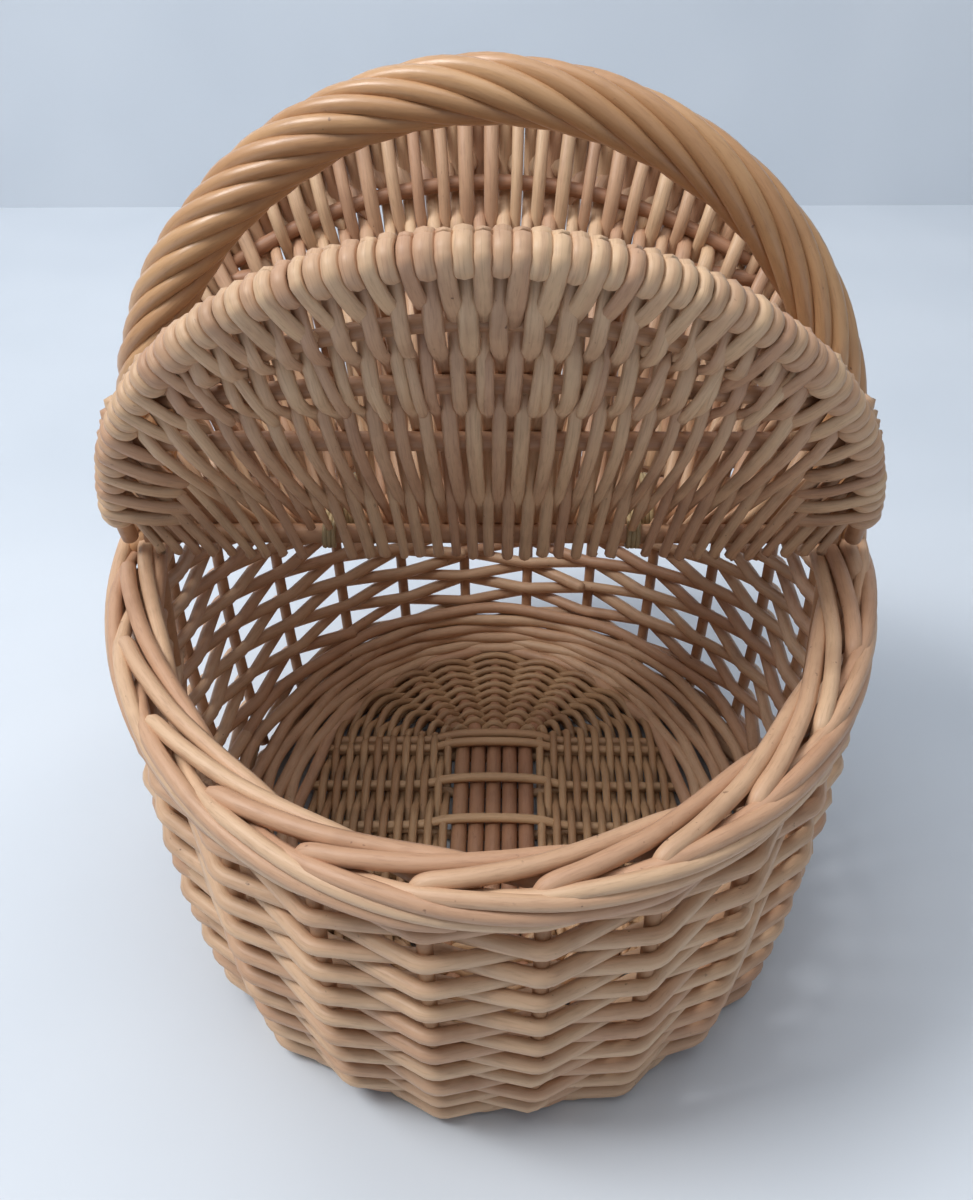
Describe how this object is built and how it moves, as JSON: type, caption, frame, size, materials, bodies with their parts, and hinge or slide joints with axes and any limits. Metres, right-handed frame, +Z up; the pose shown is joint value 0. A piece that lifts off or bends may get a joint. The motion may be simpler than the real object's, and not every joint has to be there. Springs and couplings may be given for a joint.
{
  "type": "picnic basket",
  "caption": "Oval buff-willow picnic basket with a roped arch handle across the middle and hinged half-oval woven lids held by willow ties.",
  "frame": {"origin": "middle of the base's resting plane, under the middle of the basket", "axes": "+X to the right across the short axis and along the middle bar, +Y to the back along the long axis, +Z up"},
  "size_m": [0.36, 0.448, 0.418],
  "materials": {
    "willow_weave": "satin",
    "willow_rod": "satin",
    "willow_glossy": "gloss",
    "willow_lid": "satin",
    "willow_floor": "satin",
    "willow_tie": "satin"
  },
  "bodies": {
    "basket": {"back_lid_ties": "willow_tie", "base_cross_pair_back": "willow_rod", "base_cross_pair_front": "willow_rod", "base_cross_stick_1": "willow_rod", "base_cross_stick_2": "willow_rod", "base_cross_stick_3": "willow_rod", "base_long_stick_1": "willow_rod", "base_long_stick_2": "willow_rod", "base_long_stick_3": "willow_rod", "base_long_stick_4": "willow_rod", "base_long_stick_5": "willow_rod", "base_weave": "willow_floor", "border_back": "willow_weave", "border_front": "willow_weave", "bottom_wale": "willow_floor", "front_lid_ties": "willow_tie", "handle_bow": "willow_rod", "handle_wrap": "willow_glossy", "hinge_bar": "willow_rod", "side_stake_01": "willow_rod", "side_stake_02": "willow_rod", "side_stake_03": "willow_rod", "side_stake_04": "willow_rod", "side_stake_05": "willow_rod", "side_stake_06": "willow_rod", "side_stake_07": "willow_rod", "side_stake_08": "willow_rod", "side_stake_09": "willow_rod", "side_stake_10": "willow_rod", "side_stake_11": "willow_rod", "side_stake_12": "willow_rod", "side_stake_13": "willow_rod", "side_stake_14": "willow_rod", "side_stake_15": "willow_rod", "side_stake_16": "willow_rod", "side_stake_17": "willow_rod", "side_stake_18": "willow_rod", "side_stake_19": "willow_rod", "side_stake_20": "willow_rod", "side_stake_21": "willow_rod", "side_stake_22": "willow_rod", "side_stake_23": "willow_rod", "side_stake_24": "willow_rod", "side_weave": "willow_weave"},
    "front_lid": {"front_lid_bow": "willow_rod", "front_lid_cross_stick_1": "willow_rod", "front_lid_cross_stick_2": "willow_rod", "front_lid_cross_stick_3": "willow_rod", "front_lid_hinge_stick": "willow_rod", "front_lid_rim_wrap": "willow_lid", "front_lid_weave": "willow_lid"},
    "back_lid": {"back_lid_bow": "willow_rod", "back_lid_cross_stick_1": "willow_rod", "back_lid_cross_stick_2": "willow_rod", "back_lid_cross_stick_3": "willow_rod", "back_lid_hinge_stick": "willow_rod", "back_lid_rim_wrap": "willow_lid", "back_lid_weave": "willow_lid"}
  },
  "joints": [
    {"name": "front_lid_hinge", "type": "hinge", "parent": "basket", "child": "front_lid", "pos_m": [0, -0.023, 0.21305], "axis": [-1, 0, 0], "range_deg": [-67.5, 27.5]},
    {"name": "back_lid_hinge", "type": "hinge", "parent": "basket", "child": "back_lid", "pos_m": [0, 0.023, 0.21305], "axis": [1, 0, 0], "range_deg": [-65.5, 29.5]}
  ]
}
